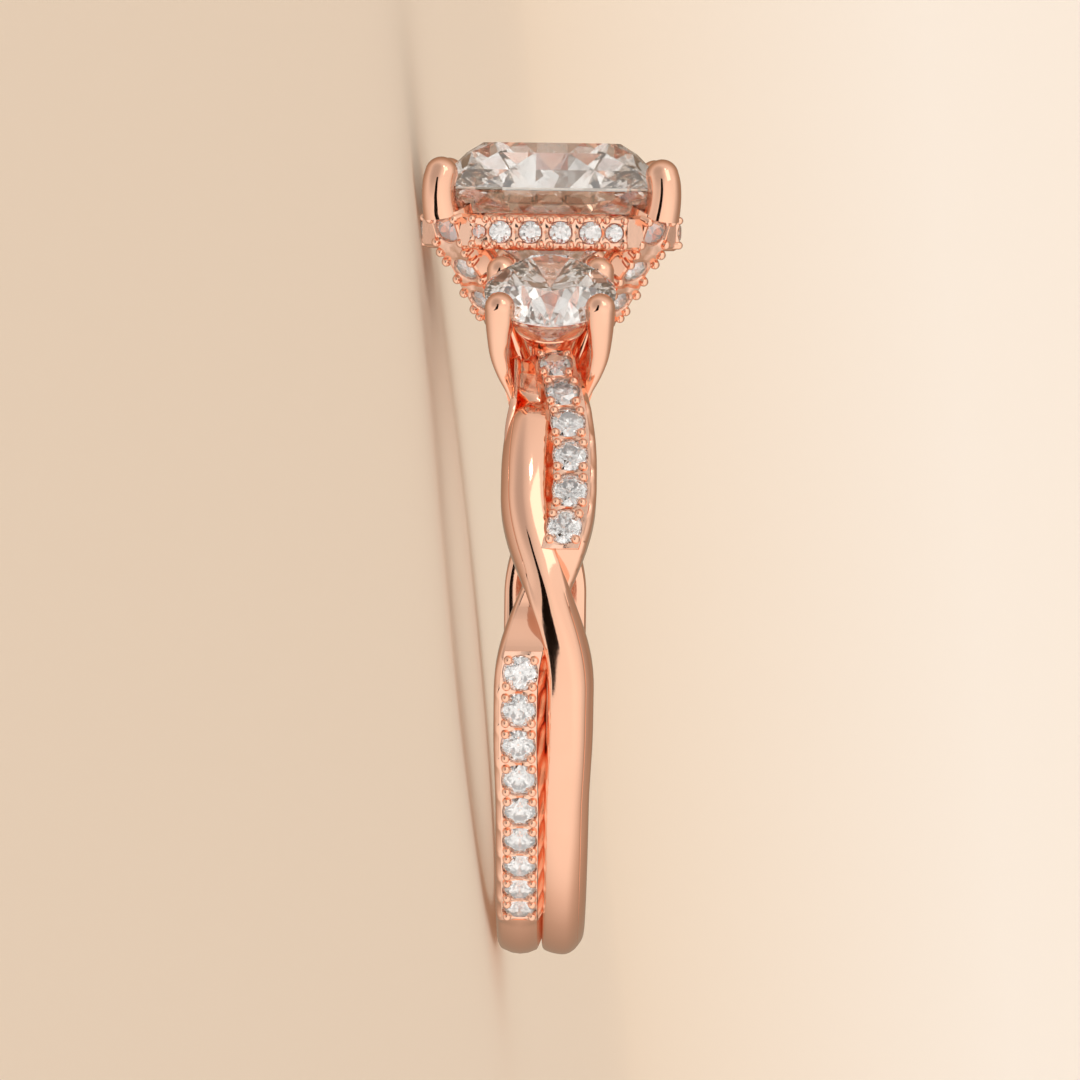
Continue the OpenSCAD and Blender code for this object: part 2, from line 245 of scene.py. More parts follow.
def piece(name, shapes, material, node="setting", sharp=32, flat=False, second=None):
    """One object of several closed shapes, each turned to face outwards, in place of a node of
    the solids. Metal is smooth but for edges sharper than an angle, and stones are flat. Second
    is another material, with a mark for each of the first faces that has it."""
    verts, loops, totals, base = [], [], [], 0
    for points, faces in shapes:
        points = laid(bored(np.asarray(points, float)))
        outward = volume(points - points.mean(0), faces) > 0
        for f in faces:
            loops.append(((f if outward else f[:, ::-1]) + base).ravel())
            totals.append(np.full(len(f), f.shape[1]))
        verts.append(points * MM)
        base += len(points)
    verts, loops, totals = (np.concatenate(v) for v in (verts, loops, totals))
    mesh = bpy.data.meshes.new(name)
    mesh.vertices.add(len(verts))
    mesh.vertices.foreach_set("co", verts.ravel())
    mesh.loops.add(len(loops))
    mesh.loops.foreach_set("vertex_index", loops.astype(np.int32))
    mesh.polygons.add(len(totals))
    mesh.polygons.foreach_set("loop_start", (np.cumsum(totals) - totals).astype(np.int32))
    mesh.polygons.foreach_set("use_smooth", np.full(len(totals), not flat))
    mesh.update(calc_edges=True)
    mesh.validate()
    if not flat:
        mesh.set_sharp_from_angle(angle=math.radians(sharp))
    mesh.materials.append(material)
    if second:
        mesh.materials.append(second[0])
        index = np.zeros(len(mesh.polygons), np.int32)
        index[:len(second[1])] = second[1]
        mesh.polygons.foreach_set("material_index", index)
    obj = bpy.data.objects.new(name, mesh)
    bpy.context.scene.collection.objects.link(obj)
    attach(obj, "root")
    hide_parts(node)


# Materials

def linear(code):
    """sRGB hex to linear colour with full opacity."""
    v = np.array([int(code[i:i + 2], 16) for i in (1, 3, 5)]) / 255
    return (*np.where(v <= 0.04045, v / 12.92, ((v + 0.055) / 1.055) ** 2.4), 1.0)


def add(tree, kind, inputs=None, **settings):
    """A node with its settings, and its inputs set to values or linked to sockets."""
    n = tree.nodes.new(kind)
    for key, value in settings.items():
        setattr(n, key, value)
    for key, value in (inputs or {}).items():
        if isinstance(value, bpy.types.NodeSocket):
            tree.links.new(value, n.inputs[key])
        else:
            n.inputs[key].default_value = value
    return n


def new_material(name):
    """An empty material, its node tree and its place on the ring in millimetres."""
    mat = bpy.data.materials.new(name)
    mat.use_nodes = True
    mat.node_tree.nodes.clear()
    tree = mat.node_tree
    coords = add(tree, "ShaderNodeTexCoord")
    # Object coordinates are metres, so that a pattern of scale 1 has one wave in a millimetre
    place = add(tree, "ShaderNodeMapping", {"Vector": coords.outputs["Object"],
                                            "Scale": (1 / MM,) * 3})
    return mat, tree, place.outputs["Vector"]


def precious_metal(name, light, deep, rough, wave, wave_mm, grain, grain_mm):
    """Rose gold of 14 carat, a copper-warm alloy, or its plating. Light and deep are the metal's
    colour in two tones that drift over the surface, wave is the softness left by the polishing
    wheel and grain the finer marks of the tool, each with its size in millimetres."""
    mat, tree, place = new_material(name)
    drift = add(tree, "ShaderNodeTexNoise", {"Vector": place, "Scale": 0.6, "Detail": 2.0})
    tone = add(tree, "ShaderNodeMix", {"Factor": drift.outputs["Fac"], "A": linear(light),
                                       "B": linear(deep)}, data_type="RGBA")
    haze = add(tree, "ShaderNodeTexNoise", {"Vector": place, "Scale": 1 / grain_mm, "Detail": 4.0})
    spread = add(tree, "ShaderNodeMapRange", {"Value": haze.outputs["Fac"], "To Min": rough * 0.7,
                                              "To Max": rough * 1.4})
    broad = add(tree, "ShaderNodeTexNoise", {"Vector": place, "Scale": 1 / wave_mm, "Detail": 1.0})
    soft = add(tree, "ShaderNodeBump", {"Height": broad.outputs["Fac"], "Strength": wave,
                                        "Distance": 0.00002})
    fine = add(tree, "ShaderNodeBump", {"Height": haze.outputs["Fac"], "Strength": grain,
                                        "Distance": 0.00001, "Normal": soft.outputs["Normal"]})
    metal = add(tree, "ShaderNodeBsdfPrincipled", {
        "Base Color": tone.outputs["Result"], "Metallic": 1.0,
        "Roughness": spread.outputs["Result"], "Normal": fine.outputs["Normal"]})
    add(tree, "ShaderNodeOutputMaterial", {"Surface": metal.outputs["BSDF"]})
    return mat


def cut_diamond(name, clear, warm, flash):
    """Diamond, cut and polished flat: clear, with an index of 2.417 that folds the light back
    out of the crown. The two tones are near white and drift as the crystal's body colour does.
    Flash is the share that a facet returns as a mirror, more in small stones."""
    mat, tree, place = new_material(name)
    drift = add(tree, "ShaderNodeTexNoise", {"Vector": place, "Scale": 0.5, "Detail": 1.0})
    tone = add(tree, "ShaderNodeMix", {"Factor": drift.outputs["Fac"], "A": linear(clear),
                                       "B": linear(warm)}, data_type="RGBA")
    stone = add(tree, "ShaderNodeBsdfPrincipled", {
        "Base Color": tone.outputs["Result"], "Roughness": 0.0, "IOR": 2.417,
        "Metallic": flash, "Transmission Weight": 1.0})
    add(tree, "ShaderNodeOutputMaterial", {"Surface": stone.outputs["BSDF"]})
    return mat


# Mirror polish, as the wheel leaves it: long clean reflections that swim a little
polished = precious_metal("rose_gold_mirror_polished", "#FAC7AB", "#F6BD9F", rough=0.07,
                          wave=0.10, wave_mm=1.2, grain=0.04, grain_mm=0.08)
# Cut with a graver between the stones: bright facets with fine marks, so they sparkle unevenly
bright_cut = precious_metal("rose_gold_bright_cut", "#FBD0B8", "#F6C4AA", rough=0.14,
                            wave=0.30, wave_mm=0.22, grain=0.25, grain_mm=0.05)
# Fishtail cuts in the wall, deep between the strands: duller, as the graver leaves them, and paler in
# colour as painted light that lifts the shade there
fishtail_painted_light = precious_metal("rose_gold_fishtail_painted_light", "#FFE6D8", "#FCDCCB", rough=0.22,
                              wave=0.30, wave_mm=0.22, grain=0.25, grain_mm=0.05)
# White rhodium, plated inside the seats, which returns the light that a small stone loses
rhodium = precious_metal("rhodium_plated", "#F2F2F3", "#E6E6E8", rough=0.06,
                         wave=0.10, wave_mm=0.3, grain=0.05, grain_mm=0.05)
# The large stones fold light through their whole depth, the small ones flash more from their tops
diamond = cut_diamond("diamond_brilliant_cut", "#FFFFFF", "#FFFCF8", flash=0.15)
melee = cut_diamond("diamond_melee", "#FFFFFF", "#FBFAF9", flash=0.26)


# Strands

def lift(turn):
    """Angle above the front or back point, for an angle turned from the head."""
    return 90 - np.minimum(turn, 360 - turn)


def swing(turn):
    """Sideways place of the stone-set strand, three eased slides one after the other."""
    f = lift(np.asarray(turn, float))
    low = slide(f, JOIN - 22, JOIN - 6, -SIDE_OFFSET, -LOBE_OFFSET)
    mid = slide(f, JOIN, LOBE_LOW, -LOBE_OFFSET, UPPER_OFFSET)
    high = slide(f, LOBE_HIGH, FADE, UPPER_OFFSET, -UPPER_OFFSET)
    return np.where(f < JOIN, low, np.where(f < LOBE_LOW, mid, high))


def pave_top(turn):
    """Radius of the stone-set strand's top: it dips where the plain strand crosses over it, in
    long smooth ramps that end a little under the rows of stones."""
    nose_start, dip_shift, dip_end, ramp_end = 50, 1.5, 0.5, 10.4
    f = lift(np.asarray(turn, float))
    away = np.abs(f - CROSS + dip_shift)
    nose = slide(f, nose_start, STRAND_END, TOP, BRIDGE - 0.02)
    return np.where(f > nose_start, nose, slide(away, dip_end, ramp_end, TOP - DIP, TOP))


def plain_top(turn):
    """Radius of the plain strand's top: it dips where the stone-set strand crosses over it."""
    return slide(lift(np.asarray(turn, float)), 38, 48, TOP, TOP - DIP)


def round_finger(turn, r, y):
    """Radius and sideways place at an angle turned from the head, to t, w and h."""
    a = np.radians(turn)
    return np.stack(np.broadcast_arrays(r * np.sin(a), y, r * np.cos(a)), -1)


def plain_strand():
    """A domed wire carried round the finger. Away from the stones its half profile runs from the
    finger up a steep side, over a flat bevel and a fine step, and then along a parabola to the
    middle; towards the stones it is flatter, with one small round edge. Heights are shares of its
    thickness there, and the halves change over where the strands cross."""
    dome = 0.395
    outer_fall, inner_fall = 0.118, 0.0385
    foot_y = [0.30, 0.46, 0.555, 0.60, 0.622, PLAIN_HALF, PLAIN_HALF]
    foot_share = [0.0, 0.0, 0.018, 0.06, 0.13, 0.30, 0.50]
    outer_y = [0.617, 0.60, 0.57, 0.52, 0.46, 0.415, 0.405]
    outer_share = [0.60, 0.67, 0.725, 0.780, 0.832, 0.864, 0.862]
    inner_y = [PLAIN_HALF, 0.622, 0.61, 0.59, 0.56, 0.52, 0.47]
    inner_share = [0.735, 0.806, 0.859, 0.894, 0.918, 0.933, 0.945]
    arc = np.linspace(dome, 0, 12)
    outer, inner = (
        np.array([np.concatenate([foot_y, y, arc]),
                  np.concatenate([foot_share, share, 1 - fall * (arc / dome) ** 2])])
        for y, share, fall in ((outer_y, outer_share, outer_fall), (inner_y, inner_share, inner_fall)))
    turns = np.linspace(90 - STRAND_END, 270 + STRAND_END, 420)
    thick = (plain_top(turns) - BORE)[:, None]
    towards = ease((swing(turns) + CHANGE) / (2 * CHANGE))[:, None]
    right_y, right_share = (inner[i] * towards + outer[i] * (1 - towards) for i in (0, 1))
    left_y, left_share = (outer[i] * towards + inner[i] * (1 - towards) for i in (0, 1))
    y = np.concatenate([right_y, -left_y[:, -2::-1]], 1)
    share = np.concatenate([right_share, left_share[:, -2::-1]], 1)
    return skin(round_finger(turns[:, None], BORE + thick * share, -swing(turns)[:, None] + y))


def flat_bar(lifts, left, right, top):
    """A low bar carried round the finger, with rounded upper edges and a deep foot. Its left and
    right edges and its height follow the angle."""
    middle, half = (left + right)[:, None] / 2, (right - left)[:, None] / 2
    across = np.array([-1, -1, -0.94, -0.78, -0.4, 0, 0.4, 0.78, 0.94, 1, 1])
    drop = np.array([0.9, 0.10, 0.045, 0.012, 0.0, 0.0, 0.0, 0.012, 0.045, 0.10, 0.9])
    return skin(round_finger(90 - lifts[:, None], top[:, None] - drop, middle + half * across))


def nose_sides():
    """The plain strand's outer bevel, which stays up as a narrow strip when its dome dips under
    the stone-set strand, and the plate between the strip and the nose of that strand."""
    f = np.linspace(33, 57, 60)
    left = slide(f, 36, 46, -1.20, -0.98)
    right = np.where(f < 42, slide(f, 36, 42, -1.06, -0.86), slide(f, 42, 50, -0.86, -0.80))
    top = np.where(f < 48, slide(f, 33, 43, 9.86, 10.16), slide(f, 50, 57, 10.16, 9.45))
    strip = flat_bar(f, left, right, top)
    f = np.linspace(39.8, 56, 50)
    left = slide(f, 39.8, 45.0, -0.36, -0.88)
    right = np.full(len(f), -0.20)
    top = np.where(f < 48, slide(f, 39.8, 44, 9.95, 10.10), slide(f, 50, 56, 10.08, 9.45))
    return [strip, flat_bar(f, left, right, top)]


def stone_turns():
    """Angles of the stones, turned from the head: the upper row starts past the crossing under
    the head, the lower one past the crossing at the front, and both go on at an even pitch."""
    first_upper, first_lower = TOP_CROSS - 4.4, CROSS - 12.8
    return (90 - (first_upper - np.arange(UPPER_STONES) * PITCH_ANGLE),
            90 - (first_lower - np.arange(LOWER_STONES) * PITCH_ANGLE))


UPPER, LOWER = stone_turns()
FRONT_TURNS = np.concatenate([UPPER, LOWER])
ALL_TURNS = np.concatenate([FRONT_TURNS, 360 - FRONT_TURNS])


def pave_strand():
    """The stone-set wire carried round the finger. Outside it has a smooth rail, in the middle a
    channel that is open only along the rows, and on the side of the plain strand a wall that
    slopes down to it, cut in fishtails in step with the stones. Past the last stone the top
    rounds over into a plain dome."""
    reach = PITCH_ANGLE * 0.58
    dome_fall, dome_run = 0.26, 3.0
    ends = [(g[0] - reach, g[-1] + reach) for g in (UPPER, LOWER)]
    ends += [(360 - b, 360 - a) for a, b in ends]
    # Sections stand closer along the rows, at the nose, where the strand dips and at the ends
    # of a channel
    fine = [np.arange(a, b, PITCH_ANGLE / 16) for a, b in ends]
    fine += [np.arange(a, b, 0.4) for a, b in ((35.2, 47), (70, 93), (267, 290), (313, 324.8))]
    edge = [e + d for a, b in ends for e in (a, b) for d in (-0.04, 0.04)]
    coarse = np.arange(90 - STRAND_END, 270 + STRAND_END + 0.1, 1.0)
    turns = np.unique(np.concatenate([coarse] + fine + [edge]))
    inside = np.any([(turns > a) & (turns < b) for a, b in ends], axis=0)[:, None]
    past = np.min([np.abs(turns - LOWER[-1] - reach), np.abs(turns - 360 + LOWER[-1] + reach)], 0)
    bottom = (turns > ends[1][1] - 0.02) & (turns < ends[3][0] + 0.02)
    dome = np.where(bottom, ease(past / dome_run), 0)[:, None]
    top = pave_top(turns)[:, None]
    thick = top - BORE
    way = np.clip(swing(turns) / CHANGE, -1, 1)[:, None]

    def half(y, share, drop, shut, skew, depth, wear):
        """One half of the profile at all angles: sideways places y and radii. The foot's radii
        are shares of the strand's thickness, and the rest lies a drop under the top, or by shut
        where there is no channel. In a notch, skew carries the cut along the strand, depth
        deepens it and wear takes it inwards."""
        y, share, drop, shut = (np.array(v) for v in (y, share, drop, shut))
        near = np.abs(turns[:, None, None] + np.array(skew)[None, :, None]
                      - ALL_TURNS).min(2) / (PITCH_ANGLE / 2)
        notch = np.clip(1 - near ** 2 * 1.5, 0, 1) * inside
        lower = np.where(inside, drop, shut)
        lower = lower + dome * dome_fall * np.minimum(y / PAVE_HALF, 1) ** 2
        lower = lower + np.array(depth) * notch
        r = BORE + thick * share - np.minimum(lower, thick * 0.62) * (share == 1)
        return y - np.array(wear) * notch, r

    foot = [0.0] * 7
    face = [1.0] * 13
    outer = half([0.30, 0.50, 0.60, 0.655, 0.678, 0.68, 0.68, 0.68, 0.68, 0.68, 0.672, 0.645, 0.60,
                  0.55, 0.515, 0.495, 0.49, 0.48, 0.24, 0.0],
                 [0, 0, 0.02, 0.06, 0.13, 0.30, 0.45] + face,
                 foot + [0.62, 0.48, 0.34, 0.21, 0.10, 0.03, 0.0, 0.0, 0.02, 0.5, 0.52, 0.52, 0.52],
                 foot + [0.62, 0.48, 0.34, 0.21, 0.10, 0.03] + [0.0] * 7,
                 [0.0] * 20, foot + [0, 0, 0, 0, 0.03, 0.06, 0.05, 0.02, 0, 0, 0, 0, 0],
                 foot + [0, 0, 0, 0.01, 0.035, 0.05, 0.05, 0.03, 0.01, 0, 0, 0, 0])
    wall = np.array([1.0, 0.92, 0.84, 0.74, 0.62, 0.48, 0.34, 0.20, 0.08])
    inner = half([0.30, 0.48, 0.58, 0.65, 0.70, 0.735, 0.745, 0.745, 0.735, 0.715, 0.685, 0.65, 0.61,
                  0.57, 0.54, 0.51, 0.49, 0.48, 0.24, 0.0],
                 [0, 0, 0.01, 0.03, 0.10, 0.25, 0.42] + face,
                 foot + [0.66, 0.57, 0.48, 0.39, 0.30, 0.215, 0.14, 0.08, 0.025, 0.5, 0.52, 0.52, 0.52],
                 foot + [0.66, 0.55, 0.45, 0.35, 0.26, 0.18, 0.11, 0.06, 0.02, 0.0, 0.0, 0.0, 0.0],
                 foot + list(1.5 * wall) + [0, 0, 0, 0],
                 foot + list(0.20 * np.sin(np.pi * wall ** 1.2)) + [0, 0, 0, 0],
                 foot + list(0.05 * np.sin(np.pi * wall)) + [0, 0, 0, 0])
    sides = []
    for sign in (1, -1):
        share = np.clip(-way * sign, 0, 1)
        sides.append([a * (1 - share) + b * share for a, b in zip(outer, inner)])
    across = np.concatenate([sides[0][0], -sides[1][0][:, -2::-1]], 1)
    radius = np.concatenate([sides[0][1], sides[1][1][:, -2::-1]], 1)
    shape = skin(round_finger(turns[:, None], radius, swing(turns)[:, None] + across))
    # Faces of the wall, which take the paler metal painted with light against the shade between the
    # strands: the columns between foot and top on the side of the plain strand
    first, last = 5, 15
    m, n = radius.shape
    column = np.tile(np.arange(n), (m - 1, 1))
    back = n - 2 - column
    cut = np.where(swing(turns)[:-1, None] < 0, (column >= first) & (column < last),
                   (back >= first) & (back < last))
    return shape, cut.ravel()


def seat(hole, ahead, behind, left, right, depth):
    """A block with a conical seat, as rings at growing distance round the stone's axis: the
    seat's cone, its lip, the flat between hole and edge, and the block's own sides. The outer
    rings follow a rectangle, so that blocks meet edge to edge. Between two stones there is a
    shallow groove, from one pair of grains to the other."""
    corners = np.arctan2([right, right, -left, -left], [ahead, -behind, -behind, ahead])
    a = np.unique(np.concatenate([np.linspace(-np.pi, np.pi, 32, endpoint=False), corners]))
    c, s = np.cos(a), np.sin(a)
    least, lip, groove_depth, groove_half = 1e-6, 0.03, 0.07, 0.22
    edge = np.minimum(np.where(c > 0, ahead, behind) / np.maximum(np.abs(c), least),
                      np.where(s > 0, right, left) / np.maximum(np.abs(s), least))
    edge = np.maximum(edge, hole + 0.02)
    share = np.array([0, 0, 0, 0.35, 1, 1])[:, None]
    near = np.array([0.55, 1, 1, 0, 0, 0])[:, None] * hole + np.array([0, 0, 0.012, 0, 0, 0])[:, None]
    rho = np.where(share > 0, hole + (edge - hole) * share, near)
    z = np.array([-SINK - 0.40 * hole, -SINK - 0.02, -lip, 0, 0, -depth])[:, None] + 0 * rho
    groove = groove_depth * np.clip(1 - np.abs(rho * s) / groove_half, 0, 1) * (share == 1)
    z = z - groove * (z > -0.01)
    return polar(around(a, rho, z), [0, 0, -SINK - 0.9 * hole], [0, 0, -depth])


def lining(d):
    """The plating of a seat: a thin cone just under the pavilion of a stone of this diameter."""
    hole = d / 2
    top = -SINK - 0.022
    thick = 0.03
    rho = hole * np.array([0.5, 1, 1, 0.5])[:, None]
    z = top - hole * np.array([0.44, 0, 0, 0.43])[:, None]
    z = z - np.array([thick, thick, 0, 0])[:, None]
    tip = top - 0.86 * hole
    return polar(around(full_turn(28), rho, z), [0, 0, tip - thick], [0, 0, tip])


def bent(shape, turn):
    """A block bent round the finger: x becomes an angle, y follows the strand's swing away from
    the stone, and z is height over the strand's top."""
    verts, faces = shape
    x, y, z = verts.T
    a = turn + np.degrees(x / TOP)
    follow = ease((np.hypot(x, y) - SHANK_STONE / 2) / 0.08)
    middle = stone_line(turn) + (stone_line(a) - stone_line(turn)) * follow
    return round_finger(a, pave_top(turn) + z, middle + y), faces


def bead(r):
    """A grain raised and rounded over a stone's edge: a column with a dome of four rings."""
    foot = -1.6 * r
    rise = np.radians([0, 0, 25, 50, 72])
    z = r * np.sin(rise)
    z[0] = foot
    rings = around(full_turn(12), (r * np.cos(rise))[:, None], z[:, None])
    return polar(rings, [0, 0, foot], [0, 0, r])


def brilliant(table=0.56, crown=34.5, pavilion=40.8, star=0.55, lower=0.24, girdle=0.02):
    """A round brilliant of radius 1 with 57 facets. Crown and pavilion mains are planes at these
    angles, star and lower tips lie on two neighbouring mains, and the girdle is scalloped
    where the upper and lower halves meet it."""
    k = np.arange(8)
    az = k * np.pi / 4
    mid = az + np.pi / 8
    tan_c, tan_p = math.tan(math.radians(crown)), math.tan(math.radians(pavilion))
    cos_m = math.cos(np.pi / 8)
    star_r = 1 - star * (1 - table * cos_m)
    top = around(az, table, girdle + (1 - table) * tan_c)
    stars = around(mid, star_r, girdle + (1 - star_r * cos_m) * tan_c)
    tips = around(mid, lower, -girdle - (1 - lower * cos_m) * tan_p)
    # The girdle has four points to each main and is thinner between two mains
    n = 32
    ga = full_turn(n)
    wave = np.abs(np.sin(ga * 4)) ** 0.8 * 0.012
    high, low = around(ga, 1.0, girdle), around(ga, 1.0, -girdle)
    high[:, 2] -= wave
    low[:, 2] += wave
    verts = np.concatenate([top, stars, high, low, tips, [[0, 0, -girdle - tan_p]]])
    s0, g0, l0, t0, tip = 8, 16, 16 + n, 16 + 2 * n, 24 + 2 * n
    nxt = (k + 1) % 8
    g = g0 + 4 * k
    m = l0 + 4 * k

    def wrap(base, i):
        """Point i after each main on the ring of the girdle that starts at base."""
        return base + (4 * k + i) % n

    return verts, [
        k[None, :],
        np.stack([k, s0 + k, nxt], -1),
        np.stack([k, s0 + (k - 1) % 8, g, s0 + k], -1),
        np.stack([s0 + k, g, wrap(g0, 1), wrap(g0, 2)], -1),
        np.stack([s0 + k, wrap(g0, 2), wrap(g0, 3), wrap(g0, 4)], -1),
        np.stack([g0 + np.arange(n), l0 + np.arange(n), l0 + (np.arange(n) + 1) % n,
                  g0 + (np.arange(n) + 1) % n], -1),
        np.stack([t0 + k, wrap(l0, 2), wrap(l0, 1), m], -1),
        np.stack([t0 + k, wrap(l0, 4), wrap(l0, 3), wrap(l0, 2)], -1),
        np.stack([m, t0 + (k - 1) % 8, np.full(8, tip), t0 + k], -1)]


def small_brilliant(d):
    """A small stone of diameter d, cut a little flatter than a large one."""
    return scaled(brilliant(table=0.55, crown=33, pavilion=40, star=0.5, lower=0.3), d / 2)


def on_shank(shape, turn, y=None, z=None):
    """A shape carried to the stone-set strand, to the middle of its top unless y or the radius
    z says another place."""
    a = math.radians(turn)
    y = stone_line(turn) if y is None else y
    z = pave_top(turn) if z is None else z
    return moved(shape, [z * math.sin(a), float(y), z * math.cos(a)],
                 [math.sin(a), 0, math.cos(a)], [math.cos(a), 0, -math.sin(a)])


def stone_line(turn):
    """Sideways place of the stones: in the upper row they lie a little towards the middle."""
    return swing(turn) - 0.045 * np.clip(swing(turn) / CHANGE, 0, 1)


def shank_seats():
    """A block with a seat for each stone of the front half; the end blocks reach to the end of
    the channel. The outer side of a row is wider than the side of the plain strand."""
    found = []
    end_share = 0.585
    for row, left, right in ((UPPER, 0.455, 0.545), (LOWER, 0.52, 0.49)):
        for i, turn in enumerate(row):
            behind = PITCH * (end_share if i == 0 else 0.5)
            ahead = PITCH * (end_share if i == len(row) - 1 else 0.5)
            found.append(bent(seat(SHANK_STONE / 2, ahead, behind, left, right, 0.45), turn))
    return found


def shank_grains():
    """Four grains round each stone: a pair on each side of every gap between two stones, and a
    single one on each side at the ends of a row."""
    from_gap, from_line, proud = 0.16, 0.35, 0.012
    reach = PITCH_ANGLE / 2 - math.degrees(from_gap / TOP)
    found = []
    for turn in FRONT_TURNS:
        for way in (-1, 1):
            a = turn + way * reach
            for side in (-1, 1):
                y = (stone_line(turn) + stone_line(a)) / 2 + side * from_line
                found.append(on_shank(bead(0.128), a, y, pave_top(turn) + proud))
    return found


# Head

def rod(stations, radii, sides, rows=40, up=(0, 1, 0)):
    """A round rod through stations, smoothed by a cubic through them, with a half-round end. Each
    ring of points stands square to the line's direction there, which is the difference of the
    two points beside it."""
    stations, radii = np.array(stations, float), np.array(radii, float)
    s = run_length(stations)
    u = np.linspace(0, s[-1], rows)
    line = np.stack([hermite(s, stations[:, k], u) for k in range(3)], -1)
    r = hermite(s, radii, u)
    way = unit(np.gradient(line, axis=0))
    e = np.radians(np.linspace(8, 82, 9))
    line = np.concatenate([line, line[-1] + way[-1] * (r[-1] * np.sin(e))[:, None]])
    r = np.concatenate([r, r[-1] * np.cos(e)])
    way = np.concatenate([way, np.repeat(way[-1:], len(e), 0)])
    side = unit(np.cross(way, np.array(up, float)))
    high = np.cross(side, way)
    a = full_turn(sides)
    rings = (line[:, None] + (r[:, None] * np.cos(a))[..., None] * side[:, None]
             + (r[:, None] * np.sin(a))[..., None] * high[:, None])
    return polar(rings, line[0], line[-1] + way[-1] * r[-1] * 0.14)


def hermite(x, y, u):
    """Cubic through the points with slopes from their neighbours."""
    slope = np.gradient(y, x)
    i = np.clip(np.searchsorted(x, u, "right") - 1, 0, len(x) - 2)
    h = x[i + 1] - x[i]
    v = (u - x[i]) / h
    return ((1 + 2 * v) * (1 - v) ** 2 * y[i] + v * (1 - v) ** 2 * h * slope[i]
            + v ** 2 * (3 - 2 * v) * y[i + 1] + v ** 2 * (v - 1) * h * slope[i + 1])


def halo_path():
    """Walk round the halo's octagon: place and outward direction at even steps, with each corner
    turned over a short arc, and the distance from the middle of the flat side, which is far on
    the short sides, where no stone lies."""
    step, corner, far = 0.06, 0.12, 99.0
    f = HALO_FLAT / 2
    h = HALO_HALF
    pts = np.array([[h, -f], [h, f], [f, h], [-f, h], [-h, f], [-h, -f], [-f, -h], [f, -h]])
    place, out, flat = [], [], []
    for k in range(8):
        a, b = pts[k], pts[(k + 1) % 8]
        length = np.linalg.norm(b - a)
        d = (b - a) / length
        even = np.linspace(corner, length - corner, int(length / step))
        s = np.concatenate([[corner * 0.4], even, [length - corner * 0.4]])
        place.append(a + d * s[:, None])
        out.append(np.repeat([[d[1], -d[0]]], len(s), 0))
        flat.append(s - length / 2 if k % 2 == 0 else np.full(len(s), far))
    place, out = np.concatenate(place), np.concatenate(out)
    out = unit(out + 0.25 * np.roll(out, 1, 0) + 0.25 * np.roll(out, -1, 0))
    return place, out, np.concatenate(flat)


def halo_row():
    """Offset and diameter of each stone along a flat side: four alike, with a smaller one at each
    end and a little metal between."""
    between = 0.11
    main = HALO_SHIFT + (np.arange(4) - 1.5) * HALO_PITCH
    small, large = 0.58 * HALO_STONE, 0.8 * HALO_STONE
    at = np.concatenate([[main[0] - (HALO_STONE + small) / 2 - between], main,
                         [main[3] + (HALO_STONE + large) / 2 + between]])
    return at, np.array([small] + [HALO_STONE] * 4 + [large])


ROW_AT, ROW_D = halo_row()
ROW_GAPS = (ROW_AT[1:] + ROW_AT[:-1]) / 2
ROW_EDGE = np.concatenate([[ROW_AT[0] - 0.26], ROW_GAPS, [ROW_AT[-1] + 0.36]])


def halo():
    """The band: a profile of outward place and height carried round the octagon. Its channel is
    open only along the stones, and its upper and lower ridges are notched in step with them."""
    place, out, flat = halo_path()
    inside = ((flat > ROW_EDGE[0]) & (flat < ROW_EDGE[-1]))[:, None]
    near = np.abs(flat[:, None] - ROW_AT).min(1)[:, None]
    notch_half, notch_out, notch_up = 0.17, 0.11, 0.05
    notch = np.clip(1 - (near / notch_half) ** 2, 0, 1) * inside
    half = HALO_BAND / 2
    z = np.array([-half + 0.06, -half, -half, -half + 0.05, -0.40, -0.35, -0.34, 0.34, 0.35, 0.40,
                  half - 0.05, half, half, half - 0.06])
    n = np.array([-0.70, -0.64, -0.12, -0.03, 0, -0.02, -0.42, -0.42, -0.02, 0, -0.03, -0.12,
                  -0.64, -0.70])
    shut = np.array([-0.70, -0.64, -0.12, -0.03, 0, 0, 0, 0, 0, 0, -0.03, -0.12, -0.64, -0.70])
    offset = np.where(inside, n, shut)
    ridge = (np.abs(z) > 0.38) & (n > -0.2)
    offset = offset - notch_out * notch * ridge
    height = z - np.sign(z) * notch_up * notch * ridge
    points = np.stack([place[:, 0:1] + out[:, 0:1] * offset, place[:, 1:2] + out[:, 1:2] * offset,
                       HALO_H + height + 0 * offset], -1)
    return skin(points, loop=True)


def corner_facets():
    """A bright-cut facet on each side of each leg, which closes the band's corner between the
    last seat and the leg."""
    reach = (HALO_HALF + HALO_FLAT / 2) * math.sqrt(0.5)
    found = []
    for side in (-1, 1):
        across = side * np.array([0.50, 1.09, 1.09, 0.50])
        out = reach + np.array([0.17, 0.11, -0.30, -0.30])
        rows = [[-0.46, -0.10], [-0.40, 0.0], [0.40, 0.0], [0.46, -0.10]]
        rings = np.array([np.stack([out + np.array([d, d, 0, 0]), across, np.full(4, HALO_H + z)], -1)
                          for z, d in rows])
        found += at_corners([skin(rings)])
    return found


def on_halo(shape, k, y, z):
    """A shape carried to a flat side of the halo, y along it and z up it."""
    return turned(moved(shape, [HALO_HALF, y, HALO_H + z], [1, 0, 0], [0, 1, 0]), k)


def halo_seats():
    """A block with a seat for each stone, side by side in the channel of each flat side."""
    half, depth = 0.37, 0.40
    return [on_halo(seat(d / 2, b - at, at - a, half, half, depth), k, at, 0)
            for k in range(4)
            for at, d, a, b in zip(ROW_AT, ROW_D, ROW_EDGE[:-1], ROW_EDGE[1:])]


def halo_fill(make):
    """What make gives for a stone's diameter, at each stone of the four flat sides."""
    return [on_halo(make(d), k, at, 0) for k in range(4) for at, d in zip(ROW_AT, ROW_D)]


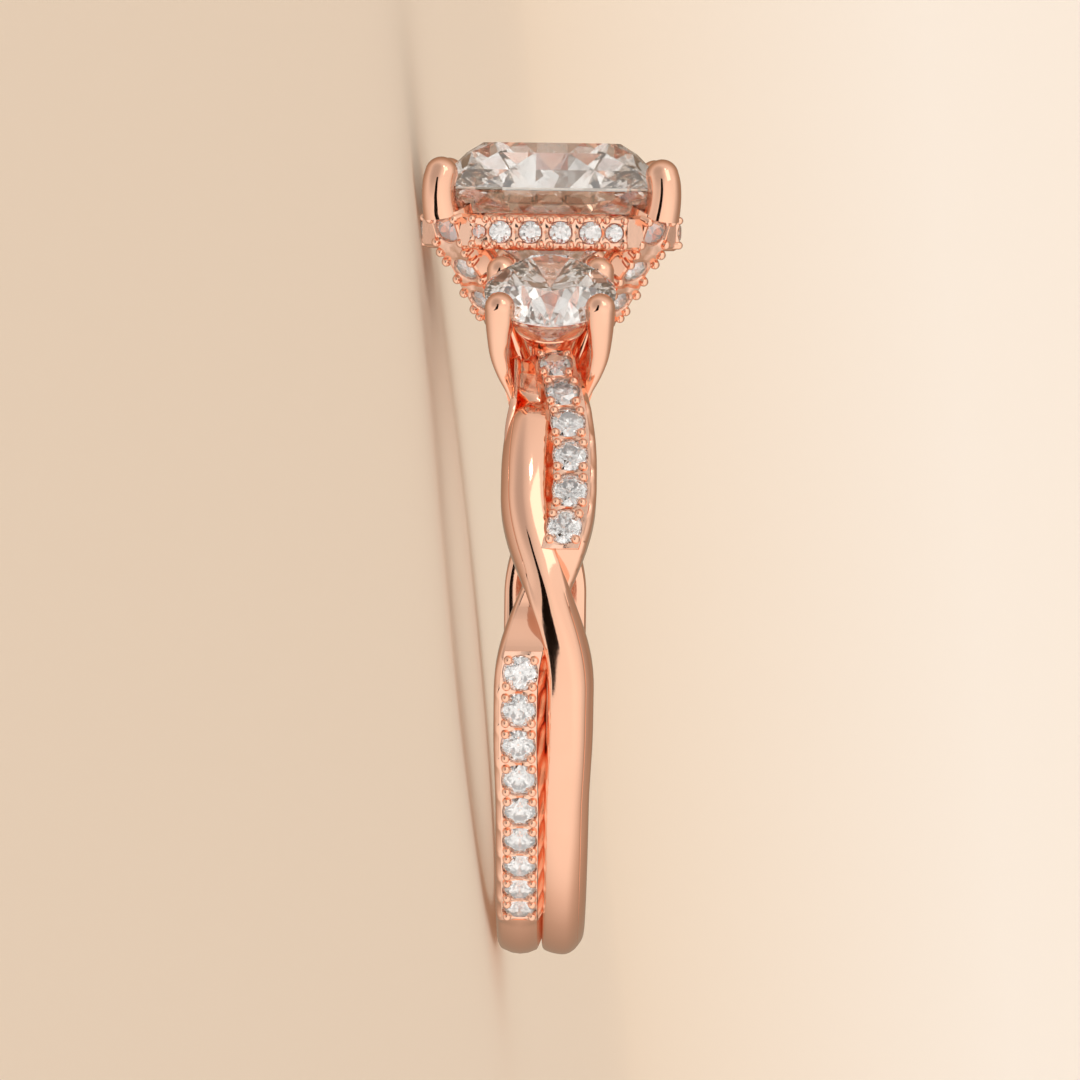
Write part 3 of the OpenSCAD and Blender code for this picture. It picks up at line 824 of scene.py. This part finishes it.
def halo_grains():
    """Pairs of grains over and under each gap between two stones, and single ones at the ends of
    a row, on all four sides. The pairs beside an end stone stand closer."""
    gaps = np.concatenate([[ROW_AT[0] - 0.20], ROW_GAPS, [ROW_AT[-1] + 0.30]])
    rise = 0.355
    found = []
    for k in range(4):
        for i, at in enumerate(gaps):
            pair = (-1, 1) if 0 < i < len(gaps) - 1 else (0,)
            off = 0.115 if i in (1, len(gaps) - 2) else 0.14
            found += [on_halo(bead(0.118), k, at + side * off, z)
                      for z in (-rise, rise) for side in pair]
    return found


# A leg's outer line from the halo down: how far each point lies out along the diagonal, beyond the
# halo's half width, and up from the halo's middle. Then the share of the leg's full width at each
# point, and the places of its stones, counted in points, with their diameters.
LEG_LINE = np.array([
    [0.78, 0.525], [0.58, 0.0], [0.28, -0.6], [-0.32, -1.3], [-0.86, -2.1], [-1.48, -2.75],
    [-1.86, -3.2]]) + [HALO_HALF, HALO_H]
LEG_SHARE = [0.95, 1.0, 1.0, 1.0, 0.92, 0.76, 0.70]
LEG_STONE_AT = np.array([1.0, 2.79, 3.95])
LEG_STONE_D = LEG_STONE * np.array([1, 0.94, 0.86])


def leg_point(s):
    """Place on a leg's outer line, its direction down the leg and its outward direction."""
    i = np.arange(len(LEG_LINE))
    s = np.asarray(s, float)
    near = 0.02

    def at(v):
        """Place on the line at v, counted in its points."""
        return np.stack([hermite(i, LEG_LINE[:, 0], v), hermite(i, LEG_LINE[:, 1], v)], -1)

    down = unit(at(s + near) - at(s - near))
    return at(s), down, np.stack([-down[..., 1], down[..., 0]], -1)


def leg():
    """One leg: a strip with a smooth rail on each edge, a channel between and a rounded back,
    carried down its line. Offsets are across the strip and out of its line, and the rails are
    notched beside each stone. Past the last stone the channel is shut."""
    notch_half, notch_in, past_last = 0.36, 0.06, 0.50
    s = np.linspace(0, 6, 121)
    place, _, out = leg_point(s)
    mm = run_length(place)
    stones = np.interp(LEG_STONE_AT, s, mm)
    near = np.abs(mm[:, None] - stones).min(1)[:, None]
    y = np.array([0.34, 0.52, 0.59, LEG_HALF, LEG_HALF, 0.585, 0.54, 0.49, 0.465, 0.46, 0.2, 0.0])
    n = np.array([-0.80, -0.76, -0.66, -0.45, -0.14, -0.05, 0.0, 0.0, -0.03, -0.45, -0.45, -0.45])
    notch = np.clip(1 - (near / notch_half) ** 2, 0, 1) * (n > -0.2) * (y > 0.5)
    half = y - notch_in * notch
    is_open = mm[:, None] < stones[-1] + past_last
    depth = np.where(is_open | (n > -0.2) | (y > 0.48), n, -0.02)
    narrow = np.interp(s, np.arange(7), LEG_SHARE)[:, None]
    across = np.concatenate([half, -half[:, -2::-1]], 1) * narrow
    outward = np.concatenate([depth, depth[:, -2::-1]], 1)
    radial = place[:, 0:1] + out[:, 0:1] * outward
    height = place[:, 1:2] + out[:, 1:2] * outward
    return skin(np.stack([radial, across, height], -1))


def on_leg(shape, s, y=0.0, z=0.0):
    """A shape carried to a leg's outer line, y across it and z out of it."""
    place, down, out = leg_point(s)
    return moved(shape, [place[0] + out[0] * z, y, place[1] + out[1] * z], [out[0], 0, out[1]],
                 [down[0], 0, down[1]])


def leg_fill():
    """What fills one leg's channel: blocks with seats, pairs of grains at both ends of each stone,
    in the widest gap and past the last stone, the stones, and the plating of their seats."""
    end, half, depth = 0.52, 0.45, 0.42
    s = np.linspace(0, 6, 241)
    mm = run_length(leg_point(s)[0])
    at = np.interp(LEG_STONE_AT, s, mm)
    edge = np.concatenate([[at[0] - end], (at[1:] + at[:-1]) / 2, [at[2] + end]])
    blocks = [on_leg(seat(d / 2, b - m, m - a, half, half, depth), np.interp(m, mm, s))
              for m, d, a, b in zip(at, LEG_STONE_D, edge[:-1], edge[1:])]
    grains = []
    rows = [m + way * (d / 2 - 0.05) for m, d in zip(at, LEG_STONE_D) for way in (-1, 1)]
    rows += [(at[0] + at[1]) / 2, at[2] + LEG_STONE_D[2] / 2 + 0.24]
    for row in rows:
        where = np.interp(row, mm, s)
        edge_at = LEG_HALF * np.interp(where, np.arange(7), LEG_SHARE) - 0.085
        for side in (-1, 1):
            grains.append(on_leg(bead(0.145), where, side * edge_at, 0.02))
    stones = [on_leg(small_brilliant(d), np.interp(m, mm, s), 0, -SINK + 0.02)
              for m, d in zip(at, LEG_STONE_D)]
    plating = [on_leg(lining(d), np.interp(m, mm, s)) for m, d in zip(at, LEG_STONE_D)]
    return blocks, grains, stones, plating


def corner_prong():
    """A claw that is thicker at its foot, bows out a little and leans back over the stone."""
    top = HALO_H + HALO_BAND / 2
    return rod([[PRONG_OFF - 0.12, 0, top - 0.10], [PRONG_OFF - 0.03, 0, top + 0.28],
                [PRONG_OFF, 0, top + 0.60], [PRONG_OFF - 0.03, 0, top + 0.90],
                [PRONG_OFF - 0.10, 0, top + 1.11]],
               [0.53, 0.50, 0.485, 0.48, 0.475], 40)


def basket():
    """Four prongs of the front side stone, the cheek on each side that joins two of them, and
    the cup under the stone. The front prongs run down to the strands' outer edges and taper."""
    found = [side_cup()]
    for s in (-1, 1):
        outer = SIDE_R * np.array([
            [0.27, s * 0.540, -1.64], [0.34, s * 0.600, -1.43], [0.43, s * 0.675, -1.22],
            [0.53, s * 0.745, -0.93], [0.625, s * 0.757, -0.66], [0.712, s * 0.750, -0.39],
            [0.767, s * 0.748, -0.20]])
        inner = SIDE_R * np.array([
            [-0.685, s * 0.395, -1.26], [-0.712, s * 0.575, -0.712], [-0.668, s * 0.74, -0.11],
            [-0.60, s * 0.75, 0.30]])
        origin = np.array([SIDE_T, 0, SIDE_H])
        found.append(rod(outer + origin, [0.06, 0.14, 0.20, 0.27, 0.33, 0.39, 0.41], 36, rows=56,
                         up=(1, 0, 0)))
        found.append(rod(inner + origin, [0.33, 0.37, 0.41, 0.41], 36, up=(1, 0, 0)))
        found.append(cheek(outer[:5] + origin, inner[:3] + origin, s))
    return found


def at_side(shape):
    """A shape carried to the front side stone, z along its axis, which leans out by its tilt."""
    tilt = math.radians(SIDE_TILT)
    return moved(shape, [SIDE_T, 0, SIDE_H], [math.sin(tilt), 0, math.cos(tilt)],
                 [math.cos(tilt), 0, -math.sin(tilt)])


def side_cup():
    """A small cup on a stem, turned round the side stone's axis just under its pavilion."""
    rho, z = np.array([[0.50, -2.25], [0.50, -1.70], [0.72, -1.42], [0.94, -1.14], [1.00, -1.05],
                       [0.99, -1.01], [0.95, -1.00], [0.90, -1.03], [0.60, -1.28], [0.3, -1.52]]).T
    rings = around(full_turn(48), rho[:, None], z[:, None])
    return at_side(polar(rings, [0, 0, -2.25], [0, 0, -1.74]))


def cheek(front, back, side):
    """The wall between two prongs: straight lines from one prong to the other, its upper edge
    hollowed in a half round, with a face on each side of them."""
    half_thick, hollow_depth = 0.14, 0.9
    u = np.linspace(0, 1, 25)[:, None, None]
    v = np.linspace(0, 1, 13)
    a = np.stack([np.interp(v, np.linspace(0, 1, len(front)), front[:, k]) for k in range(3)], -1)
    b = np.stack([np.interp(v, np.linspace(0, 1, len(back)), back[:, k]) for k in range(3)], -1)
    hollow = hollow_depth * np.sin(np.pi * u) ** 0.7 * (v ** 1.5)[None, :, None]
    wall = a[None] * (1 - u) + b[None] * u
    wall = wall - hollow * np.array([0, 0, 1.0])
    normal = np.array([0, side * half_thick, 0])
    return skin(np.concatenate([wall + normal, (wall - normal)[:, ::-1]], 1))


def bridge():
    """The shank's plain top under the head: a slab with rounded edges, wide under the head and
    narrow at its ends."""
    turns = np.linspace(-42, 42, 85)
    half = slide(np.abs(turns), 9, 27, 1.95, SIDE_OFFSET + 0.50)[:, None]
    y = np.array([0.0, 0.45, 0.75, 0.88, 0.95, 0.985, 1.0, 1.0, 0.985, 0.95, 0.88, 0.7, 0.35, 0.0])
    e = np.array([0, 0, 0, 0.01, 0.03, 0.07, 0.16, 0.62, 0.74, 0.80, 0.835, 0.85, 0.85, 0.85])
    y = np.concatenate([y, -y[-2:0:-1]])
    e = np.concatenate([e, e[-2:0:-1]])
    return skin(round_finger(turns[:, None], BORE + e, y * half))


def cushion_cut():
    """The centre stone with a half width of 1: a rounded square outline, where x and y, each to
    the power of the roundness, add up to 1, drawn in to smaller rings of points. Triangular
    facets join each ring to the next one, so that crown and pavilion have three tiers each, with
    the table on top and a point below."""
    roundness = 3.4

    def ring(n, share, z, shift=0.0):
        """n points on the outline, drawn in to a share of it and turned by a shift in steps."""
        a = (np.arange(n) + shift) * 2 * np.pi / n
        powers = np.abs(np.cos(a)) ** roundness + np.abs(np.sin(a)) ** roundness
        return around(a, share * powers ** (-1 / roundness), z)

    rings = [ring(16, 0.59, 0.385, 1.0), ring(16, 0.725, 0.300, 0.5), ring(16, 0.875, 0.158),
             ring(32, 1.0, 0.012), ring(32, 1.0, -0.012), ring(16, 0.81, -0.195),
             ring(16, 0.56, -0.410, 0.5), ring(16, 0.28, -0.628, 1.0)]
    base = np.concatenate([[0], np.cumsum([len(r) for r in rings])])

    def halved(wide, slim, n):
        """Facets between ring wide, of 2n points, and ring slim, of n points."""
        k = np.arange(n)
        before, same, after = (base[wide] + (2 * k + i) % (2 * n) for i in (-1, 0, 1))
        here, next_one = base[slim] + k, base[slim] + (k + 1) % n
        return [np.stack([here, before, same], -1), np.stack([here, same, after], -1),
                np.stack([here, after, next_one], -1)]

    def staggered(one, two, n):
        """Facets between two rings of n points, where ring two lies half a step on."""
        k = np.arange(n)
        a, a1 = base[one] + k, base[one] + (k + 1) % n
        b, b1 = base[two] + k, base[two] + (k + 1) % n
        return [np.stack([a, a1, b], -1), np.stack([b, a1, b1], -1)]

    belt = np.arange(32)
    belt = np.stack([base[3] + belt, base[4] + belt, base[4] + (belt + 1) % 32,
                     base[3] + (belt + 1) % 32], -1)
    k = np.arange(16)
    point = np.stack([base[7] + (k + 1) % 16, base[7] + k, np.full(16, base[8])], -1)
    crown = halved(3, 2, 16) + staggered(2, 1, 16) + staggered(1, 0, 16)
    back = halved(4, 5, 16) + staggered(5, 6, 16) + staggered(6, 7, 16)
    return (np.concatenate(rings + [[[0, 0, -0.822]]]),
            [k[None, :]] + crown + [belt] + [f[:, ::-1] for f in back] + [point])


# The ring

pave_shape, pave_wall_painted_light = pave_strand()
seat_linings = [on_shank(lining(SHANK_STONE), a) for a in FRONT_TURNS]
front_stones = [on_shank(small_brilliant(SHANK_STONE), a, None, pave_top(a) - SINK + 0.03)
                for a in FRONT_TURNS]
leg_blocks, leg_beads, leg_stones, leg_linings = leg_fill()
side_stone = at_side(scaled(brilliant(crown=36), SIDE_R))
centre_verts, centre_faces = scaled(cushion_cut(), CENTRE_R)

piece("plain_strand", [plain_strand()], polished)
# The wall of the stone-set strand takes the paler metal, painted light against the shade between the
# strands
piece("stone_set_strand", [pave_shape], polished, sharp=40, second=(fishtail_painted_light, pave_wall_painted_light))
piece("shank_seats", front_and_back(shank_seats()), bright_cut, sharp=30)
piece("shank_grains", front_and_back(shank_grains()), polished)
piece("nose_sides", front_and_back(nose_sides()), polished)
piece("seat_linings", front_and_back(seat_linings) + halo_fill(lining) + at_corners(leg_linings),
      rhodium)
piece("bridge", [bridge()], polished)
piece("halo_band", [halo()], polished)
piece("halo_seats", halo_seats() + corner_facets(), bright_cut, sharp=30)
piece("halo_grains", halo_grains(), polished)
piece("legs", at_corners([leg()]), polished)
piece("leg_seats", at_corners(leg_blocks), bright_cut, sharp=30)
piece("leg_grains", at_corners(leg_beads), polished)
piece("corner_prongs", at_corners([corner_prong()]), polished)
piece("side_baskets", front_and_back(basket()), polished)

piece("centre_cushion", [(centre_verts + [0, 0, CENTRE_H], centre_faces)], diamond,
      "centre_stone", flat=True)
piece("side_brilliant_front", [side_stone], diamond, "side_stone_front", flat=True)
piece("side_brilliant_back", [mirrored(side_stone)], diamond, "side_stone_back", flat=True)
piece("shank_diamonds_front", front_stones, melee, "shank_stones_front", flat=True)
piece("shank_diamonds_back", [mirrored(s) for s in front_stones], melee, "shank_stones_back",
      flat=True)
piece("halo_diamonds", halo_fill(small_brilliant), melee, "halo_stones", flat=True)
piece("leg_diamonds", at_corners(leg_stones), melee, "leg_stones", flat=True)


# Floor, light and camera

def painted_card(name, code):
    """Card painted matt: it shows its colour and hardly any reflection."""
    mat, tree, _ = new_material(name)
    paint = add(tree, "ShaderNodeBsdfPrincipled", {"Base Color": linear(code), "Roughness": 0.9})
    add(tree, "ShaderNodeOutputMaterial", {"Surface": paint.outputs["BSDF"]})
    return mat


def stage_sheet(name, points, material):
    """A sheet that isn't part of the ring, over a grid of points in laid metres."""
    verts, faces = skin(points, ring=False, caps=False)
    mesh = bpy.data.meshes.new(name)
    mesh.from_pydata(verts.tolist(), [], faces[0].tolist())
    mesh.polygons.foreach_set("use_smooth", np.ones(len(mesh.polygons), bool))
    mesh.materials.append(material)
    obj = bpy.data.objects.new(name, mesh)
    bpy.context.scene.collection.objects.link(obj)
    return obj


# A hair under the ring's lowest point, so that the two faces don't lie in one plane
FLOOR_Z = float(cad_box[0][2]) - 0.00002


def sweep_floor():
    """Floor that curves up into a wall far behind the ring, seen from the camera. Its colour is painted
    lighter towards the top and darker at the floor, as painted light, and the ring's reflections show
    the room in its place."""
    back, rise = -0.9, 0.5
    a = np.linspace(0, np.pi / 2, 25)
    y = np.concatenate([[0.9], np.linspace(0.3, back, 13), back - rise * np.sin(a[1:]), [back - rise]])
    z = np.concatenate([[0], np.zeros(13), rise * (1 - np.cos(a[1:])), [2.2]])
    x = np.linspace(-1.6, 1.6, 9)[:, None]
    points = np.stack(np.broadcast_arrays(x, y, FLOOR_Z + z), -1)
    # Cream paper, matt, with painted light: a paler tone high up the wall and a darker one down at the
    # floor
    mat, tree, place = new_material("cream_paper_painted_light")
    height = add(tree, "ShaderNodeSeparateXYZ", {"Vector": place})
    share = add(tree, "ShaderNodeMapRange", {"Value": height.outputs["Z"], "From Max": 170.0})
    tone = add(tree, "ShaderNodeMix", {"Factor": share.outputs["Result"], "A": linear("#F5E2CD"),
                                       "B": linear("#FDF3E8")}, data_type="RGBA")
    paper = add(tree, "ShaderNodeBsdfPrincipled", {"Base Color": tone.outputs["Result"],
                                                   "Roughness": 0.75, "Specular IOR Level": 0.2})
    add(tree, "ShaderNodeOutputMaterial", {"Surface": paper.outputs["BSDF"]})
    obj = stage_sheet("studio_floor", points, mat)
    obj.visible_glossy = obj.visible_transmission = False


def direction(azimuth, elevation):
    """Direction seen from the ring as the camera sees it upright: azimuth to the right of the
    camera, elevation up to the head."""
    a, e = math.radians(azimuth), math.radians(elevation)
    return laid(np.array([math.cos(e) * math.cos(a), math.cos(e) * math.sin(a), math.sin(e)]))


def facing(way, distance):
    """Matrix for a light that stands this way and this far from the ring and faces it."""
    z = Vector(way).normalized()
    x = Vector((1, 0, 0)).cross(z).normalized()
    m = Matrix((x, z.cross(x), z)).transposed().to_4x4()
    m.translation = z * distance
    return m


def softbox(name, azimuth, elevation, distance, wide, high, radiance, code):
    """A flat light of even brightness, which only reflections and refractions show."""
    data = bpy.data.lights.new(name, "AREA")
    data.shape = "RECTANGLE"
    data.size = wide
    data.size_y = high
    data.energy = radiance * wide * high * math.pi
    data.color = linear(code)[:3]
    obj = bpy.data.objects.new(name, data)
    bpy.context.scene.collection.objects.link(obj)
    obj.matrix_world = facing(direction(azimuth, elevation), distance)
    obj.visible_diffuse = False


def soft_studio():
    """World: a white room of even brightness, with broad soft patches that are lighter or darker.
    Each patch has an azimuth and elevation, a radius in degrees at which it has faded out, and
    what it adds in its middle."""
    patches = ((-38, 34, 48, -0.34), (48, 12, 62, 0.14), (0, -45, 80, 0.24), (102, -6, 36, -0.20),
               (180, 5, 105, -0.50))
    world = bpy.data.worlds.new("soft_studio")
    bpy.context.scene.world = world
    world.use_nodes = True
    tree = world.node_tree
    tree.nodes.clear()
    way = add(tree, "ShaderNodeTexCoord").outputs["Generated"]
    level = 0.89
    for azimuth, elevation, radius, gain in patches:
        nearness = add(tree, "ShaderNodeVectorMath",
                       {0: way, 1: direction(azimuth, elevation).tolist()}, operation="DOT_PRODUCT")
        rise = add(tree, "ShaderNodeMapRange", {
            "Value": nearness.outputs["Value"], "From Min": math.cos(math.radians(radius)),
            "From Max": 1.0, "To Min": 0.0, "To Max": gain}, interpolation_type="SMOOTHSTEP")
        level = add(tree, "ShaderNodeMath", {0: rise.outputs["Result"], 1: level}).outputs["Value"]
    # The last patch, behind the ring, takes the warmth of the paper, most in its middle
    warmth = add(tree, "ShaderNodeMath", {0: rise.outputs["Result"], 1: 1 / gain},
                 operation="MULTIPLY")
    tone = add(tree, "ShaderNodeMix", {"Factor": warmth.outputs["Value"], "A": linear("#FFFCF8"),
                                       "B": linear("#F6D6B6")}, data_type="RGBA")
    sky = add(tree, "ShaderNodeBackground", {"Color": tone.outputs["Result"], "Strength": level})
    add(tree, "ShaderNodeOutputWorld", {"Surface": sky.outputs["Background"]})


def card(name, distance, rows, material):
    """A card at a distance from the ring, seen only in reflections and through the stones. Each
    row gives an elevation and the azimuths of the card's left and right edge there."""
    points = np.array([[direction(a, e) * distance for a in (left, (left + right) / 2, right)]
                       for e, left, right in rows])
    obj = stage_sheet(name, points, material)
    obj.visible_camera = obj.visible_diffuse = obj.visible_shadow = False
    return obj


def stone_strips():
    """Dark strips between the lamps that only the stones show, so that their facets part. They
    stand evenly round the ring and widen and lean as they rise."""
    umber = painted_card("umber_card", "#786350")
    count, first, distance = 11, 12, 0.2
    for k in range(count):
        a = 360 / count * k + first
        rows = [(4, a, a + 9), (35, a + 3, a + 14), (72, a, a + 20)]
        card("stone_strip_%d" % k, distance, rows, umber).visible_glossy = False


def photo_camera():
    """A camera 92 mm in front of the ring's middle that looks down 8 degrees and is rolled a
    little. Its lens is in pixels of a picture 1080 wide, and the picture's middle lies 6 pixels
    to the left of that line of sight and 67 above it."""
    place = np.array([92.24, 0, 12.96])
    down, roll = math.radians(8), 0.0135
    picture, lens, left_shift, up_shift = 1080, 3096, 6, 67
    sensor = 36
    forward = np.array([-math.cos(down), 0, -math.sin(down)])
    level_up = np.array([-math.sin(down), 0, math.cos(down)])
    level_right = np.array([0, 1.0, 0])
    cam_up = level_up * math.cos(roll) - level_right * math.sin(roll)
    cam_right = level_right * math.cos(roll) + level_up * math.sin(roll)
    ahead = unit(forward + cam_up * (up_shift / lens) - cam_right * (left_shift / lens))
    right = unit(np.cross(ahead, cam_up))
    up = np.cross(right, ahead)
    camera = bpy.data.objects.new("camera", bpy.data.cameras.new("camera"))
    bpy.context.scene.collection.objects.link(camera)
    camera.data.sensor_width = sensor
    camera.data.lens = lens / picture * sensor
    camera.data.clip_start = 0.001
    matrix = Matrix(np.stack([laid(right), laid(up), laid(-ahead)], 1).tolist()).to_4x4()
    matrix.translation = (laid(place) * MM).tolist()
    camera.matrix_world = matrix
    bpy.context.scene.camera = camera


scene = bpy.context.scene
scene.view_settings.view_transform = "Standard"
# Light has to go round many facets and through deep cuts in the metal
scene.cycles.max_bounces = 16
scene.cycles.transmission_bounces = 16
scene.cycles.glossy_bounces = 12
sweep_floor()
soft_studio()
softbox("front_top", azimuth=36, elevation=35, distance=0.3, wide=0.13, high=0.11, radiance=0.8,
        code="#FFFBF6")
softbox("key_spot", azimuth=26, elevation=50, distance=0.45, wide=0.05, high=0.04, radiance=4.0,
        code="#FFFFFF")
card("card_by_camera", 0.14, [(-18, -50, -40), (-8, -36, -14), (10, -25, -9), (27, -20, -9)],
     painted_card("black_card", "#040404"))
stone_strips()
photo_camera()
